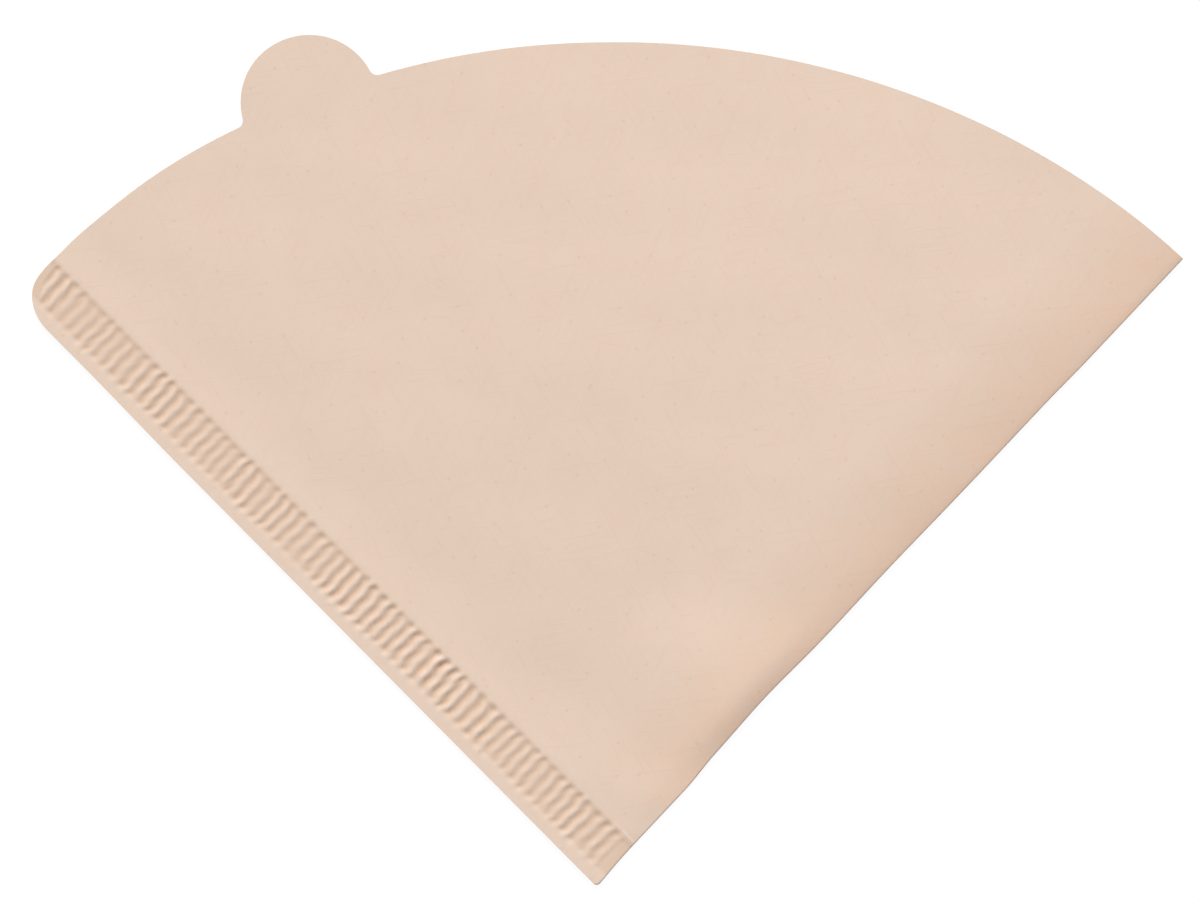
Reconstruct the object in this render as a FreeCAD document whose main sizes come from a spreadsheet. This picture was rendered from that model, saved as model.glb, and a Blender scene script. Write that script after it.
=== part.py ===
import FreeCAD, Part
import math
import os
import Sketcher

# A cone coffee filter: one sheet of paper, folded in two and crimped shut along one edge.
# It is drawn in the seam's own frame: the tip of the cone at the origin, the crimped edge
# along Y, X pointing from that edge into the paper, Z up through the two layers.
# Lengths are millimetres and angles are degrees.

SIZES = {
    "apex_angle": 88.0,            # between the crimped edge and the fold
    "rim_radius": 124.3,           # the curved rim, one arc across the mouth
    "rim_centre_inward": 0.9,      # where the rim's arc is struck from, beside the tip
    "rim_centre_below": 3.4,
    "corner_radius": 7.5,          # the cut corner where the rim meets the crimped edge
    "tab_radius": 9.97,            # the round pull tab on the rim
    "tab_inset": 0.75,             # its centre lies this far inside the rim
    "tab_turn": 23.68,             # its place round the rim, from the crimped edge
    "tab_root_radius": 1.2,        # the small hollow corners where the tab leaves the rim
    "paper_thickness": 0.2,
    "fold_radius": 0.19,           # the rounded outside of the fold
    "layer_gap": 0.2,              # air between the layers at the mouth
    "lift_run": 7.0,               # the layers part over this distance from the crimps
    "bond_run": 3.0,               # paper still pressed together past the crimps
    "roll_height": 1.75,           # how far the fold's spring raises the front layer
    "roll_width": 15.0,            # from the fold to the top of that rise
    "roll_fall": 75.0,             # the distance over which the rise levels out again
    "roll_growth": 62.0,           # the rise grows over this distance from the seam
    "roll_mouth_loss": 0.3,        # the share of it that is lost again towards the mouth
    "pinch_height": 0.8,           # the short sharp lift where the fold was pinched
    "pinch_width": 5.2,            # from the fold to the top of the pinch
    "pinch_place": 33.0,           # along the fold, from the tip
    "pinch_length": 14.0,          # it fades over this distance on both sides
    "pinch_fall": 20.0,            # and over this one towards the seam
    "crimp_margin": 2.1,           # plain paper outside the crimps
    "crimp_length": 6.1,           # each crimp, across the seam
    "crimp_width": 1.25,           # each crimp at its foot, along the seam
    "crimp_pitch": 1.83,
    "crimp_height": 0.36,
    "crimp_slope": 40.0,           # the lean of a crimp's sides from upright
    "crimp_groove_width": 0.85,    # the hollow under each crimp
    "crimp_groove_depth": 0.26,
    "crimp_first": 2.4,            # from the tip to the first crimp
    "crimp_end_clear": 0.2,        # plain paper between the last crimp and the cut corner
}

STEPS_ACROSS = 20                  # curve points of the front layer, away from the fold
STEPS_ALONG = 20                   # and along the fold
STEPS_IN_SEAM = 3                  # across the crimped seam
STEPS_IN_LIFT = 4                  # where the layers part
SPARE = 2.0                        # the front layer is drawn this much past the paper
HEADROOM = 1.0                     # and the blanks stand this much above it
SAME_PLACE = 1e-3                  # points nearer than this are one point

doc = FreeCAD.newDocument("coffee_filter")

size = doc.addObject("Spreadsheet::Sheet", "size")
for row, (name, value) in enumerate(SIZES.items(), start=1):
    size.set(f"A{row}", name)
    size.set(f"B{row}", str(value))
    size.setAlias(f"B{row}", name)
doc.recompute()


def plane(body, role):
    """The body's own origin plane or axis with this role."""
    return next(item for item in body.Origin.OriginFeatures if item.Role == role)


def flat_sketch(body, name, height=None):
    """A sketch that lies flat in the body, at a height given as an expression."""
    sketch = body.newObject("Sketcher::SketchObject", name)
    sketch.AttachmentSupport = [(plane(body, "XY_Plane"), "")]
    sketch.MapMode = "FlatFace"
    if height:
        sketch.setExpression("AttachmentOffset.Base.z", height)
    return sketch


def bind(sketch, constraint, expression):
    """Add a constraint and tie its size to the sheet."""
    index = sketch.addConstraint(constraint)
    sketch.setExpression(f"Constraints[{index}]", expression)


def pad(body, sketch, name, length):
    feature = body.newObject("PartDesign::Pad", name)
    feature.Profile = sketch
    feature.setExpression("Length", length)
    return feature


def rectangle(sketch, left, bottom, width, depth):
    """A rectangle whose place and size are expressions: left, bottom, width and depth.
    It is drawn as a unit square, which the four expressions then move and stretch."""
    first = [FreeCAD.Vector(x, y, 0) for x, y in ((1, 1), (2, 1), (2, 2), (1, 2))]
    for k in range(4):
        sketch.addGeometry(Part.LineSegment(first[k], first[(k + 1) % 4]))
    for k in range(4):
        sketch.addConstraint(Sketcher.Constraint("Coincident", k, 2, (k + 1) % 4, 1))
    for k, kind in enumerate(("Horizontal", "Vertical", "Horizontal", "Vertical")):
        sketch.addConstraint(Sketcher.Constraint(kind, k))
    bind(sketch, Sketcher.Constraint("DistanceX", -1, 1, 0, 1, 1.0), left)
    bind(sketch, Sketcher.Constraint("DistanceY", -1, 1, 0, 1, 1.0), bottom)
    bind(sketch, Sketcher.Constraint("DistanceX", 0, 1, 0, 2, 1.0), width)
    bind(sketch, Sketcher.Constraint("DistanceY", 1, 1, 1, 2, 1.0), depth)


# Places that the drawing below starts from. The fold runs from the tip at the apex angle,
# and the rim's arc meets both straight edges.

APEX = math.radians(size.apex_angle)
RIM_CENTRE = FreeCAD.Vector(size.rim_centre_inward, -size.rim_centre_below, 0)
FOLD_DIRECTION = FreeCAD.Vector(math.sin(APEX), math.cos(APEX), 0)


def rim_point(turn):
    """The point of the rim at an angle from the crimped edge, about the rim's centre."""
    angle = math.radians(turn)
    return RIM_CENTRE + FreeCAD.Vector(math.sin(angle), math.cos(angle), 0) * size.rim_radius


def rim_meets(direction):
    """Where a straight edge from the tip in this direction meets the rim."""
    along = RIM_CENTRE.dot(direction)
    aside = RIM_CENTRE.Length ** 2 - along ** 2
    return direction * (along + math.sqrt(size.rim_radius ** 2 - aside))


TIP = FreeCAD.Vector(0, 0, 0)
SEAM_TOP = rim_meets(FreeCAD.Vector(0, 1, 0))
FOLD_TOP = rim_meets(FOLD_DIRECTION)


# The die-cut outline, standing taller than the folded paper: a sector between the crimped
# edge, the rim and the fold, with the tab on the rim.

STACK = ("size.paper_thickness * 2 + size.layer_gap + size.roll_height"
         f" + size.pinch_height + {HEADROOM}")

outline = doc.addObject("PartDesign::Body", "die_cut_outline")

sector = flat_sketch(outline, "sector")
sector.addGeometry(Part.LineSegment(TIP, SEAM_TOP))
sector.addGeometry(Part.LineSegment(TIP, FOLD_TOP))
rim_circle = Part.Circle(RIM_CENTRE, FreeCAD.Vector(0, 0, 1), size.rim_radius)
start = rim_circle.parameter(FOLD_TOP)
end = rim_circle.parameter(SEAM_TOP)
sector.addGeometry(Part.ArcOfCircle(rim_circle, start, end))
sector.addConstraint(Sketcher.Constraint("Coincident", 0, 1, -1, 1))
sector.addConstraint(Sketcher.Constraint("Coincident", 1, 1, -1, 1))
sector.addConstraint(Sketcher.Constraint("Vertical", 0))
sector.addConstraint(Sketcher.Constraint("Coincident", 2, 1, 1, 2))
sector.addConstraint(Sketcher.Constraint("Coincident", 2, 2, 0, 2))
bind(sector, Sketcher.Constraint("Angle", 1, 1, 0, 1, APEX), "size.apex_angle * 1deg")
bind(sector, Sketcher.Constraint("Radius", 2, size.rim_radius), "size.rim_radius")
bind(sector, Sketcher.Constraint("DistanceX", -1, 1, 2, 3, RIM_CENTRE.x), "size.rim_centre_inward")
bind(sector, Sketcher.Constraint("DistanceY", 2, 3, -1, 1, -RIM_CENTRE.y), "size.rim_centre_below")
pad(outline, sector, "sector_blank", STACK)

TAB_CENTRE = rim_point(size.tab_turn) * (1 - size.tab_inset / size.rim_radius)
TAB_CENTRE += RIM_CENTRE * (size.tab_inset / size.rim_radius)
TAB_REACH = "(size.rim_radius - size.tab_inset)"

tab = flat_sketch(outline, "tab")
tab.addGeometry(Part.Circle(TAB_CENTRE, FreeCAD.Vector(0, 0, 1), size.tab_radius))
bind(tab, Sketcher.Constraint("Radius", 0, size.tab_radius), "size.tab_radius")
bind(tab, Sketcher.Constraint("DistanceX", -1, 1, 0, 3, TAB_CENTRE.x),
     f"size.rim_centre_inward + {TAB_REACH} * sin(size.tab_turn * 1deg)")
bind(tab, Sketcher.Constraint("DistanceY", -1, 1, 0, 3, TAB_CENTRE.y),
     f"{TAB_REACH} * cos(size.tab_turn * 1deg) - size.rim_centre_below")
tab_blank = pad(outline, tab, "tab_blank", STACK)
doc.recompute()


def upright_edges(shape, places):
    """Names of the edges that stand upright at these places."""
    names = []
    for number, edge in enumerate(shape.Edges, start=1):
        bottom, top = edge.Vertexes[0].Point, edge.Vertexes[-1].Point
        upright = abs(bottom.x - top.x) + abs(bottom.y - top.y) < SAME_PLACE
        here = FreeCAD.Vector(bottom.x, bottom.y, 0)
        if upright and any(here.distanceToPoint(place) < SAME_PLACE for place in places):
            names.append(f"Edge{number}")
    return names


def round_corners(body, base, name, places, radius):
    feature = body.newObject("PartDesign::Fillet", name)
    feature.Base = (base, upright_edges(base.Shape, places))
    feature.setExpression("Radius", radius)
    doc.recompute()
    return feature


# The tab's circle crosses the rim's arc at two places, by the law of cosines.
tab_reach = size.rim_radius - size.tab_inset
cosine = (size.rim_radius ** 2 + tab_reach ** 2 - size.tab_radius ** 2) / (2 * size.rim_radius * tab_reach)
HALF_TAB = math.degrees(math.acos(cosine))
TAB_ROOTS = [rim_point(size.tab_turn - HALF_TAB), rim_point(size.tab_turn + HALF_TAB)]

corner = round_corners(outline, tab_blank, "seam_corner", [SEAM_TOP], "size.corner_radius")
roots = round_corners(outline, corner, "tab_roots", TAB_ROOTS, "size.tab_root_radius")
outline.Tip = roots


# The front layer. It lies flat on the seam, lifts off the back layer past the crimps, and
# stands highest a little way in from the fold, where the spring of the fold holds it up.
# A third of the way up the fold it was pinched, and lifts more sharply.

SEAM_WIDTH = size.crimp_margin + size.crimp_length


def smooth(share):
    """0 below nothing, 1 above one, and a smooth rise between."""
    share = min(max(share, 0.0), 1.0)
    return share * share * (3 - 2 * share)


def long_roll(inward, from_fold):
    """The spring of the whole fold. Across the fold it rises as a parabola and levels out
    as half a cosine. Along the fold it grows from the seam and falls a little again."""
    grown = smooth((inward - SEAM_WIDTH) / size.roll_growth)
    lost = size.roll_mouth_loss * smooth(2 * inward / FOLD_TOP.Length - 1)
    share = min(from_fold / size.roll_width, 1.0)
    sunk = min(max(from_fold - size.roll_width, 0.0) / size.roll_fall, 1.0)
    across = share * (2 - share) * (1 + math.cos(math.pi * sunk)) / 2
    return size.roll_height * grown * (1 - lost) * across


def pinch(inward, from_fold):
    """The short lift beside the fold, a bell along it and a smooth rise and fall across."""
    bell = math.exp(-((inward - size.pinch_place) / size.pinch_length) ** 2)
    rise = smooth(from_fold / size.pinch_width)
    fall = 1 - smooth((from_fold - size.pinch_width) / size.pinch_fall)
    return size.pinch_height * bell * rise * fall


def front_height(inward, from_fold):
    """Height of the front face: the two layers, the gap and the spring of the fold."""
    gap = size.layer_gap * smooth((inward - SEAM_WIDTH) / size.lift_run)
    spring = long_roll(inward, from_fold) + pinch(inward, from_fold)
    return 2 * size.paper_thickness + gap + spring


def front_face(drop):
    """The curved front face, lowered by drop, spread wider than the paper on all sides.
    Its lines lie closest together near the fold, where the paper curves most."""
    widest = size.rim_radius + size.tab_radius + size.rim_centre_inward + SPARE
    lift_end = SEAM_WIDTH + size.lift_run
    inwards = [-SPARE]
    inwards += [SEAM_WIDTH * k / STEPS_IN_SEAM for k in range(1, STEPS_IN_SEAM)]
    inwards += [SEAM_WIDTH + size.lift_run * k / STEPS_IN_LIFT for k in range(STEPS_IN_LIFT + 1)]
    inwards += [lift_end + (widest - lift_end) * k / STEPS_ALONG for k in range(1, STEPS_ALONG + 1)]
    shares = [k / STEPS_ACROSS for k in range(STEPS_ACROSS + 1)]
    aways = [-SPARE + (widest + 2 * SPARE) * share * share for share in shares]
    rows = []
    for inward in inwards:
        fold_here = inward / math.tan(APEX)
        rows.append([FreeCAD.Vector(inward, fold_here + away, front_height(inward, away) - drop)
                     for away in aways])
    surface = Part.BSplineSurface()
    surface.interpolate(rows)
    return surface.toShape()


def under(name, drop):
    """Everything below the front face lowered by drop, down to well under the table."""
    face = doc.addObject("Part::Feature", name + "_face")
    face.Shape = front_face(drop)
    block = doc.addObject("Part::Extrusion", name)
    block.Base = face
    block.DirMode = "Custom"
    block.Dir = FreeCAD.Vector(0, 0, -1)
    block.Solid = True
    block.setExpression("LengthFwd", STACK)
    return block


folded = doc.addObject("Part::Common", "folded_paper")
folded.Base = outline
folded.Tool = under("under_front", 0.0)


# The air between the layers: past the pressed seam and inside the fold, open at the rim.

pocket = doc.addObject("PartDesign::Body", "pocket_outline")
opening = flat_sketch(pocket, "pocket_sketch", "size.paper_thickness")
FAR = 2 * size.rim_radius
inner_seam = SEAM_WIDTH + size.bond_run
inner_fold = size.paper_thickness / math.sin(APEX)
near = FreeCAD.Vector(inner_seam, inner_seam / math.tan(APEX) + inner_fold, 0)
far_fold = near + FOLD_DIRECTION * FAR
corners = [near, far_fold, FreeCAD.Vector(far_fold.x, FAR, 0), FreeCAD.Vector(inner_seam, FAR, 0)]
for k in range(4):
    opening.addGeometry(Part.LineSegment(corners[k], corners[(k + 1) % 4]))
for k in range(4):
    opening.addConstraint(Sketcher.Constraint("Coincident", k, 2, (k + 1) % 4, 1))
opening.addConstraint(Sketcher.Constraint("Vertical", 1))
opening.addConstraint(Sketcher.Constraint("Horizontal", 2))
opening.addConstraint(Sketcher.Constraint("Vertical", 3))
bind(opening, Sketcher.Constraint("Angle", 0, 1, 3, 2, APEX), "size.apex_angle * 1deg")
bind(opening, Sketcher.Constraint("DistanceX", -1, 1, 0, 1, near.x),
     "size.crimp_margin + size.crimp_length + size.bond_run")
bind(opening, Sketcher.Constraint("DistanceY", -1, 1, 0, 1, near.y),
     "(size.crimp_margin + size.crimp_length + size.bond_run) / tan(size.apex_angle * 1deg)"
     " + size.paper_thickness / sin(size.apex_angle * 1deg)")
bind(opening, Sketcher.Constraint("DistanceX", 0, 1, 0, 2, FAR), "2 * size.rim_radius")
bind(opening, Sketcher.Constraint("DistanceY", 3, 2, 3, 1, FAR), "2 * size.rim_radius")
pad(pocket, opening, "pocket_blank", STACK)
doc.recompute()

air = doc.addObject("Part::Common", "air_between")
air.Base = pocket
air.Tool = under("under_inner", size.paper_thickness)

pouch = doc.addObject("Part::Cut", "pouch")
pouch.Base = folded
pouch.Tool = air
doc.recompute()


# The crimps: short ridges pressed up through both layers along the seam, each with a hollow
# beneath it.

paper = doc.addObject("PartDesign::Body", "filter_paper")
paper.BaseFeature = pouch
doc.recompute()

SEAM_LENGTH = "sqrt(size.rim_radius ^ 2 - size.rim_centre_inward ^ 2) - size.rim_centre_below"
# The cut corner leaves this much of the seam at the crimps' outer ends.
CORNER = ("size.corner_radius - sqrt(size.corner_radius ^ 2"
          " - max(size.corner_radius - size.crimp_margin; 0) ^ 2)")
LAST = f"{SEAM_LENGTH} - ({CORNER}) - size.crimp_end_clear - size.crimp_width / 2"
COUNT = f"floor(({LAST} - size.crimp_first) / size.crimp_pitch) + 1"


def repeat(feature, name):
    """Copies of a feature along the seam, one for each crimp."""
    pattern = paper.newObject("PartDesign::LinearPattern", name)
    pattern.Originals = [feature]
    pattern.Direction = (plane(paper, "Y_Axis"), [""])
    pattern.Mode = "Spacing"
    pattern.setExpression("Offset", "size.crimp_pitch")
    pattern.setExpression("Occurrences", COUNT)
    paper.Tip = pattern
    doc.recompute()
    return pattern


# A ridge starts half way up the upper layer, so that the two join without a seam line.
ridge_sketch = flat_sketch(paper, "ridge_sketch", "size.paper_thickness + size.paper_thickness / 2")
rectangle(ridge_sketch, "size.crimp_margin", "size.crimp_first - size.crimp_width / 2",
          "size.crimp_length", "size.crimp_width")
ridge = pad(paper, ridge_sketch, "ridge", "size.paper_thickness / 2 + size.crimp_height")
ridge.setExpression("TaperAngle", "-size.crimp_slope * 1deg")
doc.recompute()
repeat(ridge, "ridges")

hollow_sketch = flat_sketch(paper, "hollow_sketch")
INSET = "((size.crimp_width - size.crimp_groove_width) / 2)"
rectangle(hollow_sketch, f"size.crimp_margin + {INSET}", "size.crimp_first - size.crimp_groove_width / 2",
          f"size.crimp_length - 2 * {INSET}", "size.crimp_groove_width")
hollow = paper.newObject("PartDesign::Pocket", "hollow")
hollow.Profile = hollow_sketch
hollow.Reversed = True
hollow.setExpression("Length", "size.crimp_groove_depth")
hollow.setExpression("TaperAngle", "-size.crimp_slope * 1deg")
doc.recompute()
crimped = repeat(hollow, "hollows")


# The fold's two long edges are rounded, as paper bends, by just under one thickness.

LARGEST_ROUND = 0.95


def fold_edges(shape):
    """Names of the long edges that run beside the fold."""
    names = []
    for number, edge in enumerate(shape.Edges, start=1):
        ends = [edge.valueAt(edge.FirstParameter), edge.valueAt(edge.LastParameter)]
        flats = [FreeCAD.Vector(end.x, end.y, 0) for end in ends]
        aside = max(flat.distanceToLine(TIP, FOLD_DIRECTION) for flat in flats)
        if aside < SAME_PLACE and (flats[0] - flats[1]).Length > size.paper_thickness:
            names.append(f"Edge{number}")
    return names


fold = paper.newObject("PartDesign::Fillet", "fold_round")
fold.Base = (crimped, fold_edges(crimped.Shape))
fold.setExpression("Radius", f"min(size.fold_radius; size.paper_thickness * {LARGEST_ROUND})")
paper.Tip = fold
paper.Label = "filter_paper"
doc.recompute()


# The paper lies as it rests: the tip towards -Y, the middle of the cone along +Y, the
# origin under the middle of its box.

turn = FreeCAD.Rotation(FreeCAD.Vector(0, 0, 1), size.apex_angle / 2)
paper.Placement = FreeCAD.Placement(FreeCAD.Vector(), turn)
doc.recompute()
box = paper.Shape.optimalBoundingBox(False, False)
shift = FreeCAD.Vector(-box.Center.x, -box.Center.y, -box.ZMin)
paper.Placement = FreeCAD.Placement(shift, turn)
doc.recompute()

bad = [item.Name for item in doc.Objects if "Invalid" in item.State or "Error" in item.State]
if bad:
    raise RuntimeError("not rebuilt: " + ", ".join(bad))
if paper.Shape.isNull() or not paper.Shape.isValid():
    raise RuntimeError("the paper is not a sound solid")

os.makedirs("parts", exist_ok=True)
paper.Shape.exportStep(os.path.join("parts", paper.Label + ".step"))

box = paper.Shape.optimalBoundingBox(False, False)
print("solids", len(paper.Shape.Solids), "faces", len(paper.Shape.Faces))
print(f"box {box.XLength:.2f} x {box.YLength:.2f} x {box.ZLength:.2f}, lowest {box.ZMin:.4f}")
print(f"volume {paper.Shape.Volume:.1f}, fold {FOLD_TOP.Length:.2f}, seam {SEAM_TOP.Length:.2f}")
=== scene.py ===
# %% [markdown]
# # A paper coffee filter, folded flat
#
# The real thing is one sheet of unbleached filter paper. It is folded once, crimped shut
# along one edge and cut to a curved rim with a round pull tab. Opened, it makes a cone.
# Folded, it is two layers of paper a fifth of a millimetre thick, lying on a table.
#
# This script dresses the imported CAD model. The CAD gives the size and the place. The sheet
# itself is worked out below as one folded surface with numpy, because that is what paper
# is: a surface, with a thickness.

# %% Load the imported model
import math

import bpy
import numpy as np
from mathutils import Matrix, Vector


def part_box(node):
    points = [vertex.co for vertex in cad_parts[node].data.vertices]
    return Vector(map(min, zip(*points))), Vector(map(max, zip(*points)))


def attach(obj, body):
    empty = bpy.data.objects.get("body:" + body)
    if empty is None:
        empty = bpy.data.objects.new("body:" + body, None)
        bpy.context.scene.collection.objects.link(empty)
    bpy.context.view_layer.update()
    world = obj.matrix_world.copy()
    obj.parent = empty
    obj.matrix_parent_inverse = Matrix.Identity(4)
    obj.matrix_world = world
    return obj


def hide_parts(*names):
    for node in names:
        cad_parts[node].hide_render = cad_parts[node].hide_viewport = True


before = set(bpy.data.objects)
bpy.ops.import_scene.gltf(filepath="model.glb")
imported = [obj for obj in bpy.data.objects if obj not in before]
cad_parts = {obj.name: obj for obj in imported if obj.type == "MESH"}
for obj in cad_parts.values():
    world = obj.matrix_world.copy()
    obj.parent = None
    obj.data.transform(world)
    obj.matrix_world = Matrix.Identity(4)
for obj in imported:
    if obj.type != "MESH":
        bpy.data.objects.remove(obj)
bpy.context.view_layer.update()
NODE = "filter_paper"

# %% [markdown]
# ## The sizes of the sheet
#
# All sizes are millimetres. The lengths that a maker would set come first: the angle of the
# cone, the arc of the rim, the tab and the cut corner. They are the CAD model's own sizes,
# apart from the tip, which is a little blunt here, as a folded point is. The drawing has
# the tip of the cone at its origin and the crimped edge along its second axis. Its first
# axis points from that edge into the paper.

# %% Sizes of the cut sheet
MM = 0.001
APEX = math.radians(88.0)
RIM_RADIUS = 124.3
RIM_CENTRE = np.array([0.9, -3.4])
CORNER_RADIUS = 7.5
TAB_RADIUS = 9.97
TAB_INSET = 0.75
TAB_TURN = math.radians(23.68)
TAB_ROOT_RADIUS = 1.2
TIP_RADIUS = 0.6
THICKNESS = 0.2

FOLD_WAY = np.array([math.sin(APEX), math.cos(APEX)])
FOLD_OUT = np.array([math.cos(APEX), -math.sin(APEX)])


def turned(angle):
    """Unit vectors at these angles from the seam's direction, turning towards the fold."""
    return np.stack([np.sin(angle), np.cos(angle)], axis=-1)


def angle_of(vector):
    return math.atan2(vector[0], vector[1])


def to_rim(start, way):
    """How far the rim's circle is from a point inside it: the far root of the quadratic
    for a ray and a circle."""
    offset = start - RIM_CENTRE
    along = offset @ way
    return math.sqrt(along ** 2 - offset @ offset + RIM_RADIUS ** 2) - along


FOLD_LENGTH = to_rim(np.zeros(2), FOLD_WAY)
FOLD_TOP = FOLD_LENGTH * FOLD_WAY
print("length of the fold:", round(FOLD_LENGTH, 2), "mm")

# %% [markdown]
# ## The rim as a chain of arcs
#
# The die that cuts this paper is a chain of arcs: the long rim, a small hollow corner, the
# round tab, another hollow corner, and the rim again. Each is a centre, a radius and two
# angles. A hollow corner of radius f touches both circles from outside. So its centre is
# R + f from the rim's centre and r + f from the tab's, which the law of cosines places.

# %% The outline of the rim
TAB_REACH = RIM_RADIUS - TAB_INSET
TAB_CENTRE = RIM_CENTRE + TAB_REACH * turned(np.array(TAB_TURN))
HALF_TURN = math.pi
CORNER_SPAN = 0.05        # radians of the rim beside the cut corner, with points close together
MOUTH_SPAN = 0.35         # radians of the rim before the fold, likewise


def arc(centre, radius, first, last, steps):
    """Points on a circle between two angles, without the last one."""
    return centre + radius * turned(first + (last - first) * np.arange(steps) / steps)


def tab_root(side):
    """A hollow corner beside the tab: its centre, and its angle from the rim and the tab."""
    far, near = RIM_RADIUS + TAB_ROOT_RADIUS, TAB_RADIUS + TAB_ROOT_RADIUS
    cosine = (far ** 2 + TAB_REACH ** 2 - near ** 2) / (2 * far * TAB_REACH)
    centre = RIM_CENTRE + far * turned(np.array(TAB_TURN + side * math.acos(cosine)))
    return centre, angle_of(centre - RIM_CENTRE), angle_of(centre - TAB_CENTRE)


def rim_outline(first, last):
    """The rim from one point to another, clockwise, with the tab between them."""
    left, left_rim, left_tab = tab_root(-1)
    right, right_rim, right_tab = tab_root(1)
    first_turn, last_turn = angle_of(first - RIM_CENTRE), angle_of(last - RIM_CENTRE)
    fine, middle = first_turn + CORNER_SPAN, last_turn - MOUTH_SPAN
    return np.concatenate([
        arc(RIM_CENTRE, RIM_RADIUS, first_turn, fine, 10),
        arc(RIM_CENTRE, RIM_RADIUS, fine, left_rim, 14),
        arc(left, TAB_ROOT_RADIUS, left_rim + HALF_TURN, left_tab + HALF_TURN, 8),
        arc(TAB_CENTRE, TAB_RADIUS, left_tab, right_tab, 44),
        arc(right, TAB_ROOT_RADIUS, right_tab - HALF_TURN, right_rim - HALF_TURN, 8),
        arc(RIM_CENTRE, RIM_RADIUS, right_rim, middle, 36),
        arc(RIM_CENTRE, RIM_RADIUS, middle, last_turn, 36),
        last[None],
    ])


# %% [markdown]
# ## A grid in two parts
#
# The crimps need a fine mesh, and the plain paper doesn't. So the sheet is two grids that
# share a line. The band beside the seam has columns across it, about nine for each crimp,
# and its lines lie closest where the crimps begin and end. The rest is a fan: rays from a
# point on the fold, one to each point of the rim, with about one row for each crimp. Where
# they meet, nine fine edges make one side of a many-sided face.

# %% The band along the seam and the fan beside it
BAND_WIDTH = 8.6
BAND_LINES = np.array([0, 0.06, 0.25, 0.55, 1.0, 1.5, 1.9, 2.2, 2.5, 2.9, 3.5, 4.3, 5.1, 5.9,
                       6.6, 7.1, 7.4, 7.7, 8.0, 8.3, BAND_WIDTH])
FINE = 9
ROWS = 64
FOLD_BEND = 0.24          # how far the fold's round outside stands past the flat layers
CORNER_RUN = 14.0         # the columns bend over this distance to follow the cut corner
TIP_RUN = 4.0             # and over this one to follow the blunt tip


def smooth(share):
    """0 below nothing, 1 above one, and the cubic 3x^2 - 2x^3 between."""
    share = np.clip(share, 0.0, 1.0)
    return share * share * (3 - 2 * share)


def from_fold(flat):
    """Distance of points from the straight line of the fold."""
    return -(flat @ FOLD_OUT)


def band_ends(inward):
    """Where each line of the band starts, at the fold, and where it ends, at the rim. The
    tip is rounded there by a quarter circle, and the corner by the circle that touches
    both the seam and the rim from inside."""
    inward = np.clip(inward, 0, None)
    start = (inward * math.cos(APEX) + FOLD_BEND) / math.sin(APEX)
    start = start + TIP_RADIUS - np.sqrt(TIP_RADIUS ** 2 - np.clip(TIP_RADIUS - inward, 0, None) ** 2)
    reach = RIM_RADIUS - CORNER_RADIUS
    corner_up = RIM_CENTRE[1] + math.sqrt(reach ** 2 - (CORNER_RADIUS - RIM_CENTRE[0]) ** 2)
    corner = corner_up + np.sqrt(CORNER_RADIUS ** 2 - np.clip(CORNER_RADIUS - inward, 0, None) ** 2)
    rim = RIM_CENTRE[1] + np.sqrt(RIM_RADIUS ** 2 - (inward - RIM_CENTRE[0]) ** 2)
    touch = RIM_CENTRE[0] + (CORNER_RADIUS - RIM_CENTRE[0]) * RIM_RADIUS / reach
    return start, np.where(inward < touch, corner, rim)


def band_grid():
    """Lines along the seam, each a straight run of columns that follows both its ends."""
    start, end = band_ends(BAND_LINES)
    along = np.linspace(start[-1], end[-1], FINE * ROWS + 1)
    near_end = smooth((along - end[-1] + CORNER_RUN) / CORNER_RUN)
    near_tip = smooth((start[-1] + TIP_RUN - along) / TIP_RUN)
    up = along + np.outer(end - end[-1], near_end) + np.outer(start - start[-1], near_tip)
    return np.stack([np.broadcast_to(BAND_LINES[:, None], up.shape), up], axis=-1)


band_flat = band_grid()
pole = band_flat[-1, 0]
ray_end = pole + to_rim(pole, FOLD_WAY) * FOLD_WAY
rim = rim_outline(band_flat[-1, -1], ray_end)
share_out = np.linspace(0, 1, ROWS + 1)
fan_flat = pole + (rim - pole)[:, None] * share_out[:, None]
RAYS = len(rim)
print("band", band_flat.shape[:2], "fan", fan_flat.shape[:2])

# %% [markdown]
# ## The outline as it was really cut and folded
#
# Paper isn't steel: the real outline wanders from the die's by a few tenths of a
# millimetre. The fold stands out near the tip, is pushed in where the paper was pinched,
# and stands out again at the mouth. The seam narrows a little at its top. The rim is
# flatter beside the cut corner and fuller before the tab. One function describes all such
# slow changes along an edge, and the seam's pressure further down too: a level, steps up
# or down to another level, and bells.

# %% How far each edge is moved in
FOLD_LEVEL = -0.25
FOLD_STEPS = ((0.39, 19.0, 7.0), (-0.15, 96.0, 9.0))
FOLD_BELLS = ((0.38, 37.0, 8.0), (0.17, 62.0, 11.0), (-0.3, 0.0, 4.0))
FOLD_FADE = 8.0           # each move fades into the paper over this distance
SEAM_STEPS = ((0.2, 85.0, 20.0),)
SEAM_FADE = 4.0
CORNER_LEVEL = 0.4        # the flatter rim beside the cut corner
CORNER_STEPS = ((-0.4, 13.0, 14.0),)
CORNER_BELLS = ((0.45, 7.0, 4.0),)
CORNER_START, CORNER_RISE = 0.1, 5.0  # round the rim: where that begins, and its run
RIM_STEPS = ((0.13, 78.0, 20.0),)
RIM_BELLS = ((-0.2, 35.0, 10.0),)
RIM_FADE = 9.0


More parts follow.
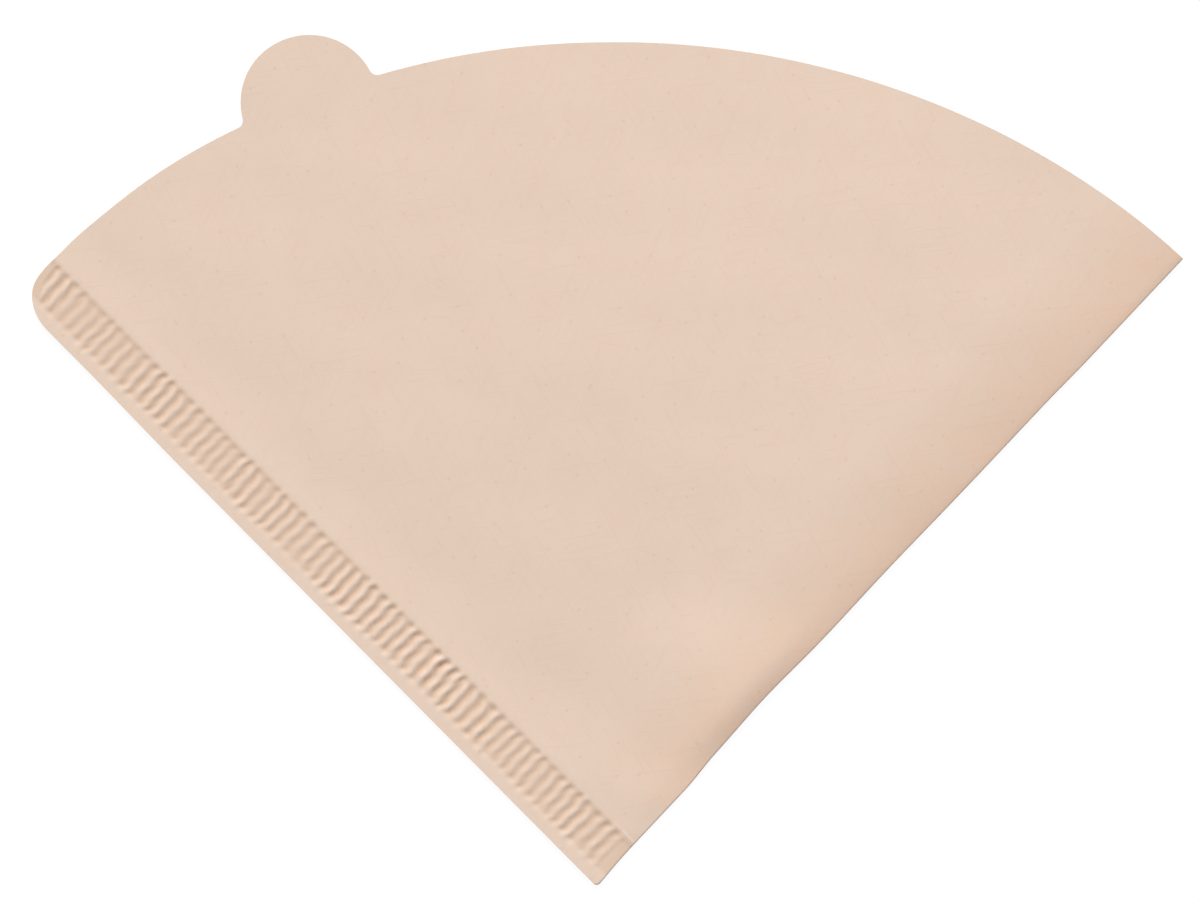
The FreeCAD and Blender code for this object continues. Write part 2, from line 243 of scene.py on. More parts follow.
def profile(along, level, steps=(), bells=()):
    """A level that changes along an edge. A step is a height, a start and a run, and rises
    smoothly from 0 to its height. A bell is a height, a place and a width: its height times
    e to the power of -x^2, where x is the distance from its place in widths."""
    total = np.full(np.shape(along), float(level))
    for height, start, run in steps:
        total += height * smooth((along - start) / run)
    for height, place, width in bells:
        total += height * np.exp(-((along - place) / width) ** 2)
    return total


def as_cut(flat):
    """Flat points moved in from the fold, the seam and the rim, each move fading into the
    paper as e to the power of minus the distance from its edge."""
    fold_in = profile(flat @ FOLD_WAY, FOLD_LEVEL, FOLD_STEPS, FOLD_BELLS)
    fold_in = fold_in * np.exp(-np.clip(from_fold(flat), 0, None) / FOLD_FADE)
    seam_in = profile(flat[..., 1], 0, SEAM_STEPS) * np.exp(-flat[..., 0] / SEAM_FADE)
    from_centre = flat - RIM_CENTRE
    reach = np.linalg.norm(from_centre, axis=-1)
    round_rim = np.arctan2(from_centre[..., 0], from_centre[..., 1]) * RIM_RADIUS
    corner_in = profile(round_rim, CORNER_LEVEL, CORNER_STEPS, CORNER_BELLS)
    corner_in = corner_in * smooth((round_rim - CORNER_START) / CORNER_RISE)
    rim_in = corner_in + profile(round_rim, 0, RIM_STEPS, RIM_BELLS)
    rim_in = rim_in * np.exp((reach - RIM_RADIUS) / RIM_FADE)
    moved = flat - FOLD_OUT * fold_in[..., None]
    moved[..., 0] += seam_in
    return moved - from_centre / np.clip(reach, 1.0, None)[..., None] * rim_in[..., None]


# %% [markdown]
# ## Numbering the points
#
# The two layers have the same plan, so one list of flat points serves both, and a grid of
# numbers says which point is where. The fan's first ray takes every ninth point of the
# band's last line, and all its rays start at one point.

# %% Point numbers of one layer
band_ids = np.arange(band_flat.shape[0] * band_flat.shape[1]).reshape(band_flat.shape[:2])
fan_ids = np.empty((RAYS, ROWS + 1), dtype=int)
fan_ids[1:, 1:] = band_ids.size + np.arange((RAYS - 1) * ROWS).reshape(RAYS - 1, ROWS)
fan_ids[0] = band_ids[-1, ::FINE]
fan_ids[:, 0] = band_ids[-1, 0]
flat = as_cut(np.concatenate([band_flat.reshape(-1, 2), fan_flat[1:, 1:].reshape(-1, 2)]))
print("points in one layer:", len(flat))

# %% [markdown]
# ## How the fold springs open
#
# Filter paper never folds quite flat. The spring of the fold lifts the front layer beside
# it, and that slope is what carries the shade along the fold. Two lifts are added. A long
# roll runs from the tip to the mouth: its slope fades evenly over 15 mm, and then the paper
# sinks slowly towards the seam. A short sharp lift sits a quarter of the way up, where the
# fold was pinched when the paper was packed.

# %% The front layer's lift
LAYER_GAP = 0.2
LIFT_RUN = 18.0           # the layers part over this distance from the seam
ROLL_SLOPE = 0.23         # the long roll's slope at the fold
ROLL_WIDTH = 15.0         # that slope fades over this distance
ROLL_FALL = 100.0         # and then the paper sinks back over this one
ROLL_GROWTH = ((1.0, 8.0, 64.0),)
ROLL_MOUTH = ((-0.3, 85.0, 50.0),)
PINCH_SLOPE = 0.34
PINCH_WIDTH = 5.2
PINCH_FALL = 20.0
PINCH_BELLS = ((1.0, 33.0, 12.0), (0.28, 13.0, 5.0))
TAIL_RISE = ((0.24, 20.0, 20.0),)
TAIL_END = ((-1.0, 55.0, 35.0),)


def long_roll(along, away):
    """Slope times (x - x^2 / 2 width), a parabola that ends level, then half a cosine down.
    Along the fold it grows up to the middle, and it is a quarter lower at the mouth."""
    strength = profile(along, 0, ROLL_GROWTH) * profile(along, 1, ROLL_MOUTH)
    near = np.clip(away, 0, ROLL_WIDTH)
    sunk = np.clip((away - ROLL_WIDTH) / ROLL_FALL, 0, 1)
    return ROLL_SLOPE * strength * (near - near ** 2 / (2 * ROLL_WIDTH)) * (1 + np.cos(math.pi * sunk)) / 2


def pinch(along, away):
    """A slope of cosine squared across the fold, so its height is x / 2 + sin(pi x) / 2 pi,
    in widths. Along the fold it is a bell, with a tail towards the mouth and a small bell
    of its own near the tip."""
    strength = profile(along, 0, (), PINCH_BELLS)
    strength = strength + profile(along, 0, TAIL_RISE) * profile(along, 1, TAIL_END)
    share = np.clip(away / PINCH_WIDTH, 0, 1)
    rise = share / 2 + np.sin(math.pi * share) / (2 * math.pi)
    sunk = smooth((away - PINCH_WIDTH) / PINCH_FALL)
    return PINCH_SLOPE * PINCH_WIDTH * strength * rise * (1 - sunk)


def roll(points):
    """The spring of the fold: the long roll and the pinch."""
    along, away = points @ FOLD_WAY, from_fold(points)
    return long_roll(along, away) + pinch(along, away)


# %% [markdown]
# ## The crimps
#
# A toothed wheel presses the two layers together into short ridges across the seam. Along
# the seam their profile is close to a sine wave, with a pitch of 1.83 mm. Paper that is fed
# by a machine wanders, so the wave drifts. Each ridge has its own depth and its own ends,
# and is stronger in one half or broken into beads, because the paper gives way unevenly
# under the teeth. The wheel pressed deepest between 30 and 60 mm from the tip. The band
# lies a little lower than the plain paper on both sides of it. The bank at its inner edge
# is the darkest line on the seam, and the lip above it is the brightest.

# %% The crimped seam
CRIMP_PITCH = 1.83
CRIMP_FIRST = 2.4         # from the tip to the first ridge
CRIMP_START = 1.5         # from the seam's edge to the ridges, and to their far ends
CRIMP_END = 8.45
CRIMP_FADE = 1.1          # a ridge rises and sinks over this length at its ends
CRIMP_SWING = 0.13        # half the height from valley to ridge
TIP_PLAIN, TIP_RISE = 1.2, 0.8      # plain paper at the tip, and the run to full ridges
RIM_PLAIN, RIM_RISE = 1.4, 0.9      # and the same at the rim
RIDGE_MIDDLE, RIDGE_HALF = 5.125, 3.325
DRIFT = ((0.5, 4.7, 2.0), (0.35, 1.9, 0.4), (0.9, 13.0, 0.0))  # swing, length and phase
PRESSURE_LEVEL = 0.55
PRESSURE_STEPS = ((0.5, 112.0, 4.0),)
PRESSURE_BELLS = ((0.15, 12.0, 8.0), (0.75, 44.0, 20.0), (0.45, 94.0, 5.0))
RIDGES = 96               # more than the seam holds
rng = np.random.default_rng(8)
ridge_swing = rng.uniform(0.55, 1.3, RIDGES)
ridge_start = rng.uniform(-0.3, 0.3, RIDGES)
ridge_end = rng.uniform(-0.25, 0.15, RIDGES)
ridge_tilt = rng.uniform(-0.45, 0.45, RIDGES)
ridge_phase = rng.uniform(0.0, math.pi, RIDGES)


def of_ridge(values, turns):
    """Each ridge's own value at its top, and an even blend of two ridges' between them."""
    first = np.clip(np.floor(turns).astype(int), 0, len(values) - 2)
    share = smooth(turns - first)
    return values[first] * (1 - share) + values[first + 1] * share


def ridge_shape(inward, along, turns):
    """How each ridge differs along its length: its phase bends by two sines, and its height
    swells into two or three beads and is greater at one end than at the other."""
    phase = of_ridge(ridge_phase, turns)
    bend = 0.3 * np.sin(inward * 0.9 + along * 0.31) + 0.4 * np.sin(inward * 2.3 + phase)
    beads = 0.4 * np.sin(inward * 2.1 + 2 * phase)
    tilt = of_ridge(ridge_tilt, turns) * (inward - RIDGE_MIDDLE) / RIDGE_HALF
    return bend, 1 + beads + tilt


def crimp_wave(points):
    """A cosine along the seam with a drifting phase, times the wheel's pressure and each
    ridge's own swing and shape, faded at both ends of each ridge, at the tip and the rim."""
    inward, along = points[..., 0], points[..., 1]
    drift = sum(swing * np.sin(along / length + phase) for swing, length, phase in DRIFT)
    turns = (along - CRIMP_FIRST) / CRIMP_PITCH + drift / (2 * math.pi)
    bend, strength = ridge_shape(inward, along, turns)
    fade = smooth((inward - CRIMP_START - of_ridge(ridge_start, turns)) / CRIMP_FADE)
    fade = fade * smooth((CRIMP_END + of_ridge(ridge_end, turns) - inward) / CRIMP_FADE)
    fade = fade * smooth((along - TIP_PLAIN) / TIP_RISE)
    fade = fade * smooth((band_ends(inward)[1] - along - RIM_PLAIN) / RIM_RISE)
    swing = CRIMP_SWING * profile(along, PRESSURE_LEVEL, PRESSURE_STEPS, PRESSURE_BELLS)
    return swing * of_ridge(ridge_swing, turns) * strength * fade * np.cos(2 * math.pi * turns + bend)


# %% [markdown]
# ## Heights of the four surfaces
#
# Two layers have four faces. The outer ones are the formulas above, with slow waves a few
# hundredths of a millimetre high, because damp pulp never dries quite flat. The inner ones
# lie one thickness inside them, and close on each other at the edge of the seam. The
# crimped band's middle stands 0.3 mm above the table, for the ridges need room below it.

# %% Heights of both layers
SEAM_MIDDLE = 0.3
SEAM_EDGE = 0.05          # the plain edge stands this far above the crimps
EDGE_STEPS = ((-0.05, 1.4, 1.0),)
LIP_STEPS = ((0.12, 7.3, 1.0),)
LIP_FALL = ((-0.4, 8.3, 2.5),)
BAND_FADE = 8.0           # from here the sheet leaves the level of the band
SINK_RUN = 7.0            # and sinks to the table over this distance
QUIET_RUN = 8.0           # the waves start beside the band over this one
UNDER_WAVES = 0.3         # the share of the waves that the back layer has
LEAST_AIR = 0.02          # between the layers, where they have parted
WAVES = ((0.03, 31.0, 0.3), (0.028, 24.0, 1.5), (0.02, 17.0, 2.4), (0.016, 13.0, 4.0), (0.012, 9.0, 5.2))


def seam_profile(inward):
    """Level across the seam: plain edge, sunken crimps, and a lip where the body starts."""
    lip = profile(inward, 0, LIP_STEPS) * profile(inward, 1, LIP_FALL)
    return profile(inward, SEAM_EDGE, EDGE_STEPS) + lip


def waves(points, shift):
    """Slow sine waves: each has a height, a length and a direction."""
    total = np.zeros(points.shape[:-1])
    for height, length, way in WAVES:
        total += height * np.sin(points @ turned(np.array(way + shift)) * 2 * math.pi / length + shift)
    return total


def layer_heights(points):
    """Height of the back layer's underside and of the front layer's face."""
    inward = points[..., 0]
    raised_band = (SEAM_MIDDLE - THICKNESS) * (1 - smooth((inward - BAND_FADE) / SINK_RUN))
    parted = smooth((inward - BAND_FADE) / LIFT_RUN)
    quiet = smooth((inward - BAND_WIDTH) / QUIET_RUN)
    both = raised_band + crimp_wave(points)
    back = both + quiet * UNDER_WAVES * np.clip(waves(points, 0.7), 0, None)
    front = both + 2 * THICKNESS + seam_profile(inward)
    front = front + LAYER_GAP * parted + quiet * waves(points, 0.0) + roll(points)
    return back, np.maximum(front, back + 2 * THICKNESS + LEAST_AIR * parted)


back_up, front_up = layer_heights(flat)
print("front face from", round(front_up.min(), 3), "to", round(front_up.max(), 3), "mm")

# %% [markdown]
# ## Joining the faces
#
# The four faces, the round fold and the cut edges are all grids of point numbers. One
# function turns such a grid into faces. They face up where the grid's two directions run
# as the drawing's axes do, and a turn of -1 makes them face down.

# %% Grids of point numbers into faces
COUNT = len(flat)
points = []
sheet_faces = []


def patch(ids, turn=1):
    """Four-sided faces of a grid of point numbers, and triangles where a row is one point."""
    faces = np.stack([ids[:-1, :-1], ids[1:, :-1], ids[1:, 1:], ids[:-1, 1:]], axis=-1).reshape(-1, 4)
    pointed = faces[:, 0] == faces[:, 1]
    sheet_faces.extend(faces[~pointed][:, ::turn].tolist())
    sheet_faces.extend(faces[pointed][:, 1:][:, ::turn].tolist())


def outer_face(shift, turn):
    """One layer's outside: the band, the fan and the many-sided faces that join them."""
    patch(band_ids + shift, turn)
    patch(fan_ids[1:] + shift, turn)
    for row in range(ROWS):
        fine = band_ids[-1, row * FINE:(row + 1) * FINE + 1][::-1]
        coarse = fan_ids[1, max(row, 1):row + 2]
        sheet_faces.append((np.concatenate([fine, coarse]) + shift)[::turn].tolist())


def add_points(plan, height):
    """Put points in the list and give back their numbers, in the same arrangement."""
    first = sum(len(block) for block in points)
    points.append(np.column_stack([plan.reshape(-1, 2), height.reshape(-1)]))
    return first + np.arange(height.size).reshape(height.shape)


front_ids = add_points(flat, front_up)
back_ids = add_points(flat, back_up)
outer_face(0, 1)
outer_face(COUNT, -1)
print("outside faces:", len(sheet_faces))

# %% [markdown]
# ## The inside of the pouch
#
# Past the seam there is air between the layers, and it is open at the rim. The inner faces
# start from one shared line at the seam, where they are stuck together. They end at the
# rim, where each layer shows its cut edge.

# %% Inner faces and the cut edges of the rim
INNER_RUN = 2.5
inner_flat = flat[fan_ids]
middle_up = (front_up[fan_ids] + back_up[fan_ids]) / 2
opened = smooth((inner_flat[..., 0] - BAND_WIDTH) / INNER_RUN)
under_front = middle_up + opened * (front_up[fan_ids] - THICKNESS - middle_up)
over_back = middle_up + opened * (back_up[fan_ids] + THICKNESS - middle_up)

bond_ids = add_points(inner_flat[0], middle_up[0])


def inner_face(height, turn):
    """One layer's inside, from the bond line out to the rim."""
    ids = np.empty(fan_ids.shape, dtype=int)
    ids[1:, 1:] = add_points(inner_flat[1:, 1:], height[1:, 1:])
    ids[0] = bond_ids
    ids[:, 0] = bond_ids[0]
    patch(ids, turn)
    return ids


inner_front = inner_face(under_front, -1)
inner_back = inner_face(over_back, 1)
rim_ids = fan_ids[:, -1]
patch(np.stack([rim_ids, inner_front[:, -1]], axis=1))
patch(np.stack([inner_back[:, -1], rim_ids + COUNT], axis=1))

# %% [markdown]
# ## The fold and the seam's edge
#
# The fold is half an ellipse carried along the paper's edge: as tall as the two layers are
# there, and a quarter of a millimetre deep. Inside it a smaller one joins the inner faces.
# The seam's own edge is simply cut, with a line where the two layers are pressed together.

# %% The fold and the cut seam
BEND_STEPS = 6


def bend(plan, low, high, depth):
    """Half ellipses from a lower line to an upper one, without both: out by depth times the
    sine of the angle, up by half the height times its cosine."""
    angle = math.pi * (1 - np.arange(1, BEND_STEPS) / BEND_STEPS)
    out = plan[:, None] + FOLD_OUT * (depth * np.sin(angle))[:, None]
    up = (low + high)[:, None] / 2 + (high - low)[:, None] / 2 * np.cos(angle)
    return add_points(out, up)


fold_path = np.concatenate([band_ids[:, 0], fan_ids[-1, 1:]])
outer_rings = bend(flat[fold_path], back_up[fold_path], front_up[fold_path], FOLD_BEND)
outer_bend = np.column_stack([fold_path + COUNT, outer_rings, fold_path])
patch(outer_bend)

inner_rings = bend(inner_flat[-1, 1:], over_back[-1, 1:], under_front[-1, 1:], FOLD_BEND - THICKNESS)
inner_bend = np.column_stack([inner_back[-1, 1:], inner_rings, inner_front[-1, 1:]])
inner_bend = np.vstack([np.full(BEND_STEPS + 1, bond_ids[0]), inner_bend])
patch(inner_bend.T, 1)
patch(np.stack([inner_bend[-1], outer_bend[-1]], axis=1))

edge_path = np.concatenate([band_ids[0], band_ids[1:, -1]])
edge_middle = (front_up[edge_path] + back_up[edge_path]) / 2
edge_ids = add_points(flat[edge_path[:-1]], edge_middle[:-1])
edge_ids = np.append(edge_ids, bond_ids[-1])
patch(np.stack([edge_path, edge_ids, edge_path + COUNT], axis=1))
sheet_faces.append([*outer_bend[0].tolist(), int(edge_ids[0])])
points = np.concatenate(points)
print("points", len(points), "faces", len(sheet_faces))

# %% [markdown]
# ## Into the frame
#
# The drawing is turned by half the cone's angle, so that the middle of the cone points
# along Y, and moved so that the box of the cut shape is centred where the CAD has it. The
# paper is put on the table by its lowest point.
#
# The UV map is the sheet unfolded: the back layer is laid out across the fold, as it was
# before it was folded. So the paper's fibres run on round the fold.

# %% Place the sheet and make the mesh
UV_SHEET = 300.0          # millimetres of paper to one unit of the UV map
UV_MIDDLE = 0.5
SHARP = math.radians(50)  # steeper edges than this stay sharp: the cut edges of the paper
TURN = APEX / 2
cos_turn, sin_turn = math.cos(TURN), math.sin(TURN)
to_frame = np.array([[cos_turn, sin_turn], [-sin_turn, cos_turn]])
plan = points[:, :2] @ to_frame
low_mm, high_mm = (np.array(corner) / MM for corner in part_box(NODE))
tip_plan = (low_mm[:2] + high_mm[:2]) / 2 - (plan.min(axis=0) + plan.max(axis=0)) / 2
height = points[:, 2] - points[:, 2].min() + low_mm[2]
coordinates = np.column_stack([plan + tip_plan, height]) * MM

mesh = bpy.data.meshes.new("filter_sheet")
mesh.from_pydata(coordinates.tolist(), [], sheet_faces)
mesh.shade_smooth()
mesh.set_sharp_from_angle(angle=SHARP)
sheet = bpy.data.objects.new("filter_sheet", mesh)
bpy.context.collection.objects.link(sheet)

unfolded = points[:, :2].copy()
behind = np.zeros(len(points), dtype=bool)
behind[back_ids] = True
behind[inner_back[1:, 1:]] = True
unfolded[behind] += np.outer(2 * from_fold(unfolded[behind]), FOLD_OUT)
corner_points = np.empty(len(mesh.loops), dtype=np.int32)
mesh.loops.foreach_get("vertex_index", corner_points)
uv_map = mesh.uv_layers.new(name="unfolded_sheet")
uv_values = (unfolded[corner_points] - FOLD_TOP / 2) / UV_SHEET + UV_MIDDLE
uv_map.data.foreach_set("uv", uv_values.astype(np.float32).ravel())
print("sheet in mm:", np.round(np.ptp(coordinates, axis=0) / MM, 2))

# %% [markdown]
# ## Where the paper's colour changes, and where shade is painted
#
# The crimped band is pressed hard, so its surface is closed and slightly browner. Its valleys
# are painted darker and browner still: painted shade in the grooves between the ridges. Beside
# the fold, where the front layer stands off the back one, the paper is painted warmer: a
# painted warm shade in place of light that comes through the paper there. Two values on each
# point say how much, for the material to read.

# %% The pressed band with its painted valley shade, and the painted warm shade by the fold, as attributes
PRESSED_AND_SHADE_STEPS = ((1.0, 1.8, 0.8), (-1.0, 7.75, 0.7))
PAINTED_WARM_SHADE_STEPS = ((1.0, 12.0, 8.0),)

# Painted shade: the crimps' valleys take more of the pressed colour, following the crimp wave.
valley_shade = np.clip(0.5 - 0.5 * crimp_wave(points[:, :2]) / CRIMP_SWING, 0, 1)
pressed_and_valley_shade = profile(points[:, 0], 0, PRESSED_AND_SHADE_STEPS) * valley_shade
# Painted warm shade beside the fold. It fades over the roll's width and rises from 12 to 20 mm along the
# fold.
painted_warm_shade = 1 - smooth(from_fold(points[:, :2]) / ROLL_WIDTH)
painted_warm_shade = painted_warm_shade * profile(points[:, :2] @ FOLD_WAY, 0, PAINTED_WARM_SHADE_STEPS)
for name, values in (("pressed_and_valley_shade", pressed_and_valley_shade), ("painted_warm_shade", painted_warm_shade)):
    mark = mesh.attributes.new(name, "FLOAT", "POINT")
    mark.data.foreach_set("value", values.astype(np.float32))

# %% [markdown]
# ## Unbleached filter paper
#
# The material is wet-laid wood pulp, unbleached, uncoated and creped a little. It is
# matte, with a warm pale brown of its own. Held close it has three scales: clouds of
# thicker and thinner pulp some millimetres wide, fibres one to three millimetres long, and
# a felted surface that scatters light. All three are faint, because at arm's length the
# sheet is nearly one colour.

# %% Helpers for materials
def linear(code):
    """An sRGB hex colour as linear red, green and blue."""
    values = [int(code[k:k + 2], 16) / 255 for k in (1, 3, 5)]
    return [v / 12.92 if v <= 0.04045 else ((v + 0.055) / 1.055) ** 2.4 for v in values] + [1.0]


def node(tree, kind, settings=None, **inputs):
    """Add a node, set its properties, and fill or link its inputs by name."""
    added = tree.nodes.new(kind)
    for name, value in (settings or {}).items():
        setattr(added, name, value)
    for name, value in inputs.items():
        socket = added.inputs[int(name[1:]) if name[0] == "_" else name.replace("_", " ")]
        if isinstance(value, bpy.types.NodeSocket):
            tree.links.new(value, socket)
        else:
            socket.default_value = value
    return added


def new_material(name):
    material = bpy.data.materials.new(name)
    material.use_nodes = True
    material.node_tree.nodes.clear()
    return material, material.node_tree


# %% [markdown]
# The fibres are noise stretched twelve times along one direction. Real fibres are a few
# hundredths of a millimetre wide, too fine to show, so they are drawn 0.15 mm wide. Three
# sets cross each other, because pulp settles on its wire in all directions.

# %% The filter paper
PAPER = "#E5CDBA"
PAPER_THIN = "#E7D0BE"
PAPER_DARK = "#C9AD96"
# Pressed paper is a little browner. The valleys take this colour most, as painted shade.
PAPER_PRESSED_AND_SHADED = "#DABBA2"
# A painted warm shade for the paper where it slopes down to the fold.
PAPER_PAINTED_WARM_SHADE = "#EFCEB6"
CLOUD = 5.0               # mm, one cloud of pulp
FIBRE_WIDTH = 0.15        # mm
FIBRE_STRETCH = 12.0
FIBRE_WAYS = ((20, 0.0), (-35, 3.1), (75, 7.7))
FIBRE_SHADE = 0.06        # how much of the dark colour a fibre takes
NOISE_TO_STREAK = 4       # one wave of the noise is about four streaks wide
FLECK = 6.0               # mm between flecks of bark
FLECK_SHADE = 0.22
FELT = 0.35               # mm, the felted surface
FELT_DEPTH = 0.02         # mm


def fibre_noise(tree, sheet_uv, way, shift):
    """Thin streaks in one direction, 1 on a streak and 0 between."""
    width = FIBRE_WIDTH * NOISE_TO_STREAK / UV_SHEET
    laid = node(tree, "ShaderNodeMapping", {"vector_type": "TEXTURE"}, Vector=sheet_uv,
                Location=(shift, shift, 0), Rotation=(0, 0, math.radians(way)),
                Scale=(width * FIBRE_STRETCH, width, 1))
    streak = node(tree, "ShaderNodeTexNoise", {"noise_dimensions": "2D"}, Vector=laid.outputs[0],
                  Scale=1.0, Detail=2.0, Roughness=0.6, Distortion=0.6)
    return node(tree, "ShaderNodeMapRange", {"interpolation_type": "SMOOTHSTEP"},
                Value=streak.outputs[0], From_Min=0.56, From_Max=0.72)


def blend_colour(tree, share, first, second):
    mixed = node(tree, "ShaderNodeMix", {"data_type": "RGBA"}, _0=share, _6=first, _7=second)
    return mixed.outputs[2]


def filter_paper_material():
    """Unbleached filter paper, machine-creped: matte, warm, faintly cloudy and fibrous, with painted shade
    in the crimps' valleys and a painted warm shade by the fold.
    """
    material, tree = new_material("unbleached_filter_paper")
    sheet_uv = node(tree, "ShaderNodeUVMap", {"uv_map": "unfolded_sheet"}).outputs[0]
    cloud = node(tree, "ShaderNodeTexNoise", {"noise_dimensions": "2D"}, Vector=sheet_uv,
                 Scale=UV_SHEET / CLOUD, Detail=4.0, Roughness=0.55)
    cloudy = node(tree, "ShaderNodeMapRange", Value=cloud.outputs[0], From_Min=0.3, From_Max=0.7,
                  To_Min=0.0, To_Max=0.5)
    # Painted warm shade along the fold.
    painted_warm_shade = node(tree, "ShaderNodeAttribute", {"attribute_name": "painted_warm_shade"})
    colour = blend_colour(tree, painted_warm_shade.outputs["Fac"], linear(PAPER), linear(PAPER_PAINTED_WARM_SHADE))
    colour = blend_colour(tree, cloudy.outputs[0], colour, linear(PAPER_THIN))

    streaks = [fibre_noise(tree, sheet_uv, way, shift) for way, shift in FIBRE_WAYS]
    pair = node(tree, "ShaderNodeMath", {"operation": "MAXIMUM"}, _0=streaks[0].outputs[0],
                _1=streaks[1].outputs[0])
    fibres = node(tree, "ShaderNodeMath", {"operation": "MAXIMUM"}, _0=pair.outputs[0],
                  _1=streaks[2].outputs[0])
    faint = node(tree, "ShaderNodeMath", {"operation": "MULTIPLY"}, _0=fibres.outputs[0], _1=FIBRE_SHADE)
    colour = blend_colour(tree, faint.outputs[0], colour, linear(PAPER_DARK))

    fleck = node(tree, "ShaderNodeTexVoronoi", {"voronoi_dimensions": "2D"}, Vector=sheet_uv,
                 Scale=UV_SHEET / FLECK)
    dot = node(tree, "ShaderNodeMapRange", Value=fleck.outputs[0], From_Min=0.02, From_Max=0.05,
               To_Min=FLECK_SHADE, To_Max=0.0)
    colour = blend_colour(tree, dot.outputs[0], colour, linear(PAPER_DARK))

    # Partly the pressed band's own browner colour, partly painted shade in the crimps' valleys.
    pressed_and_valley_shade = node(tree, "ShaderNodeAttribute", {"attribute_name": "pressed_and_valley_shade"})
    colour = blend_colour(tree, pressed_and_valley_shade.outputs["Fac"], colour, linear(PAPER_PRESSED_AND_SHADED))

    felt = node(tree, "ShaderNodeTexNoise", {"noise_dimensions": "2D"}, Vector=sheet_uv,
                Scale=UV_SHEET / FELT, Detail=3.0, Roughness=0.6)
    surface = node(tree, "ShaderNodeMath", {"operation": "ADD"}, _0=felt.outputs[0],
                   _1=fibres.outputs[0])
    bump = node(tree, "ShaderNodeBump", Height=surface.outputs[0], Strength=0.25,
                Distance=FELT_DEPTH * MM)
    rough = node(tree, "ShaderNodeMapRange", Value=felt.outputs[0], To_Min=0.82, To_Max=0.95)
    shader = node(tree, "ShaderNodeBsdfPrincipled", Base_Color=colour, Roughness=rough.outputs[0],
                  Normal=bump.outputs[0])
    shader.inputs["IOR"].default_value = 1.45
    shader.inputs["Specular IOR Level"].default_value = 0.3
    node(tree, "ShaderNodeOutputMaterial", Surface=shader.outputs[0])
    return material


sheet.data.materials.append(filter_paper_material())
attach(sheet, "root")
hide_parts(NODE)
print("paper dressed:", sheet.name)

# %% [markdown]
# ## The table
#
# A white table top, matte. It keeps the paper's soft shadow. For the camera, and for mirrors
# and glass if a scene has them, it also glows, so that it reads as plain white without more
# light on the paper. The light path says which kind of ray has arrived.

# %% Floor
FLOOR_HALF = 6.0          # metres, so that its edge is never in sight
FLOOR_DROP = 0.02         # mm below the paper
FLOOR_WHITE = 1.04
FLOOR_COLOUR = "#F4F4F4"
FLOOR_GLOW = 0.9          # the share of its white that is only to be seen


def seen_directly(tree):
    """1 for a ray from the camera, a mirror or a glass, and 0 for a ray that carries light."""
    path = node(tree, "ShaderNodeLightPath")
    mirrored = node(tree, "ShaderNodeMath", {"operation": "MAXIMUM"},
                    _0=path.outputs["Is Camera Ray"], _1=path.outputs["Is Glossy Ray"])
    seen = node(tree, "ShaderNodeMath", {"operation": "MAXIMUM"},
                _0=mirrored.outputs[0], _1=path.outputs["Is Transmission Ray"])
    return seen.outputs[0]


def floor_material():
    material, tree = new_material("matte_white_table")
    plain = node(tree, "ShaderNodeBsdfDiffuse", Color=linear(FLOOR_COLOUR))
    glow = node(tree, "ShaderNodeEmission", Color=linear("#FFFFFF"), Strength=FLOOR_WHITE)
    share = node(tree, "ShaderNodeMath", {"operation": "MULTIPLY"},
                 _0=seen_directly(tree), _1=FLOOR_GLOW)
    mixed = node(tree, "ShaderNodeMixShader", _0=share.outputs[0], _1=plain.outputs[0],
                 _2=glow.outputs[0])
    node(tree, "ShaderNodeOutputMaterial", Surface=mixed.outputs[0])
    return material


corners = [(-FLOOR_HALF, -FLOOR_HALF, 0), (FLOOR_HALF, -FLOOR_HALF, 0),
           (FLOOR_HALF, FLOOR_HALF, 0), (-FLOOR_HALF, FLOOR_HALF, 0)]
floor_mesh = bpy.data.meshes.new("table_top")
floor_mesh.from_pydata(corners, [], [(0, 1, 2, 3)])
floor_mesh.materials.append(floor_material())
floor = bpy.data.objects.new("table_top", floor_mesh)
floor.location.z = -FLOOR_DROP * MM
bpy.context.collection.objects.link(floor)

# %% [markdown]
# ## Light
#
# One soft lamp stands far beyond the rim, less than half way up the sky, so it grazes the
# crimps and leaves the near side of each ridge in shade. It is a sun 26 degrees wide: its
# light is as soft as a large window's, and as strong at the tip as at the tab. A pale sky
# fills the rest. It lights the paper with a third of its white, and looks plain white past
# the table's edge. Together the two light a white surface to just about white, so each
# colour renders about as it is written.

# %% Lamp and sky
KEY_SHARE = 0.655         # the part of the light that comes from the lamp
SKY_SHARE = 0.329
KEY_SPREAD = math.radians(26)
KEY_HEIGHT = math.radians(36)

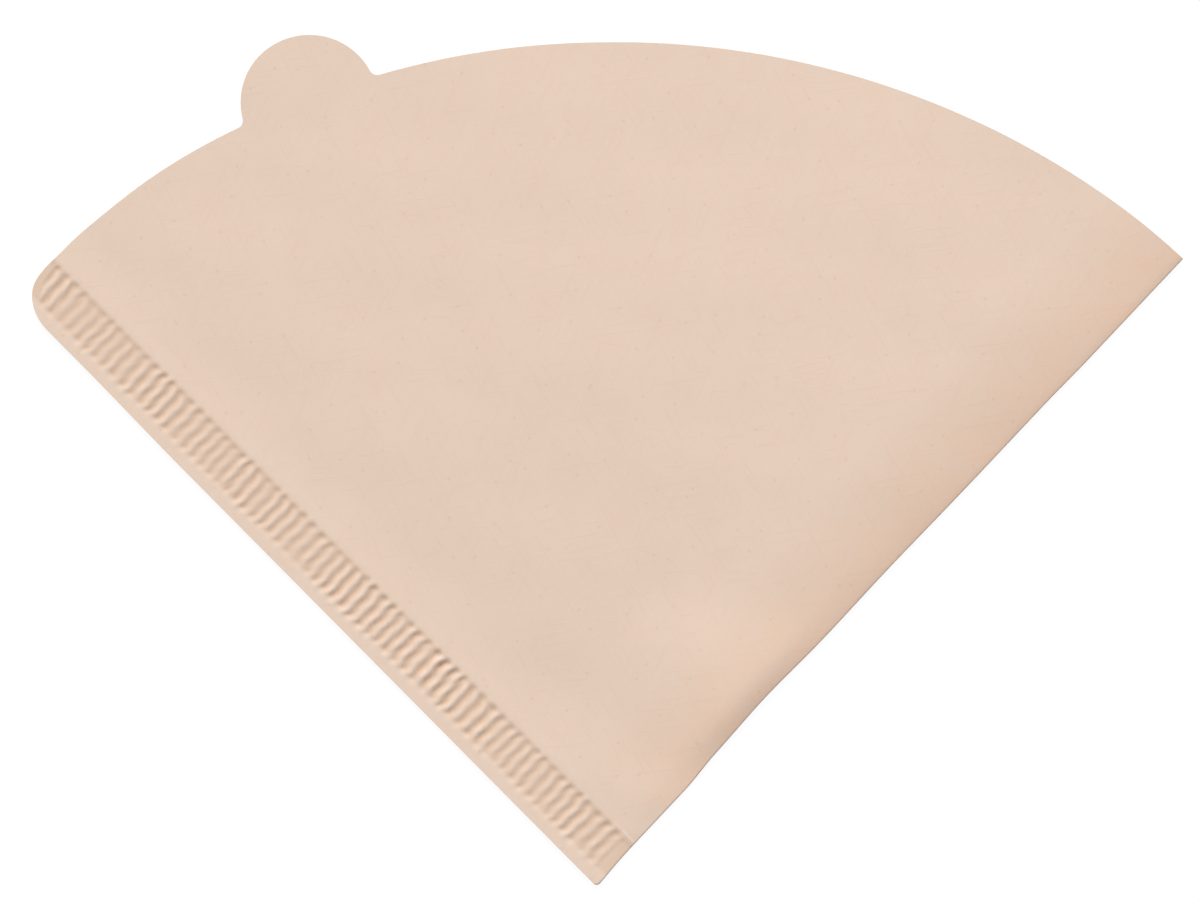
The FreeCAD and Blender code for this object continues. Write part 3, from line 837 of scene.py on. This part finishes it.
key_way = Vector((0, math.cos(KEY_HEIGHT), math.sin(KEY_HEIGHT)))
key_data = bpy.data.lights.new("soft_key", "SUN")
key_data.angle = KEY_SPREAD
key_data.energy = KEY_SHARE * math.pi / math.sin(KEY_HEIGHT)
key = bpy.data.objects.new("soft_key", key_data)
key.location = key_way
key.rotation_euler = key_way.to_track_quat("Z", "Y").to_euler()
bpy.context.collection.objects.link(key)

world = bpy.data.worlds.new("pale_sky")
world.use_nodes = True
sky_tree = world.node_tree
sky_tree.nodes.clear()
strength = node(sky_tree, "ShaderNodeMapRange", Value=seen_directly(sky_tree),
                To_Min=SKY_SHARE, To_Max=1.0)
sky = node(sky_tree, "ShaderNodeBackground", Color=linear("#FFFFFF"), Strength=strength.outputs[0])
node(sky_tree, "ShaderNodeOutputWorld", Surface=sky.outputs[0])
bpy.context.scene.world = world
print("key lamp", round(key_data.energy, 2), "W per square metre")

# %% [markdown]
# ## Camera
#
# The camera looks straight down from half a metre, turned by three quarters of a degree. The
# picture is 1200 by 901 pixels, and one millimetre of paper is 6.87 of them.

# %% Camera
PIXELS_PER_MM = 6.869
PICTURE = np.array([1200.0, 901.0])
TIP_PIXEL = np.array([594.18, 883.89])
CAMERA_TURN = math.radians(-0.73)
LENS = 100.0
SENSOR = 36.0

from_tip = (PICTURE / 2 - TIP_PIXEL) * (1, -1) / PIXELS_PER_MM
cos_roll, sin_roll = math.cos(CAMERA_TURN), math.sin(CAMERA_TURN)
from_tip = np.array([from_tip[0] * cos_roll - from_tip[1] * sin_roll,
                     from_tip[0] * sin_roll + from_tip[1] * cos_roll])
centre = (tip_plan + from_tip) * MM
distance = PICTURE[0] / PIXELS_PER_MM * MM * LENS / SENSOR

camera_data = bpy.data.cameras.new("camera")
camera_data.lens = LENS
camera_data.sensor_width = SENSOR
camera = bpy.data.objects.new("camera", camera_data)
camera.location = (centre[0], centre[1], distance)
camera.rotation_euler = (0, 0, CAMERA_TURN)
bpy.context.collection.objects.link(camera)
bpy.context.scene.camera = camera
bpy.context.scene.view_settings.view_transform = "Standard"
print("camera above", np.round(centre / MM, 2), "mm at", round(distance / MM, 1), "mm")
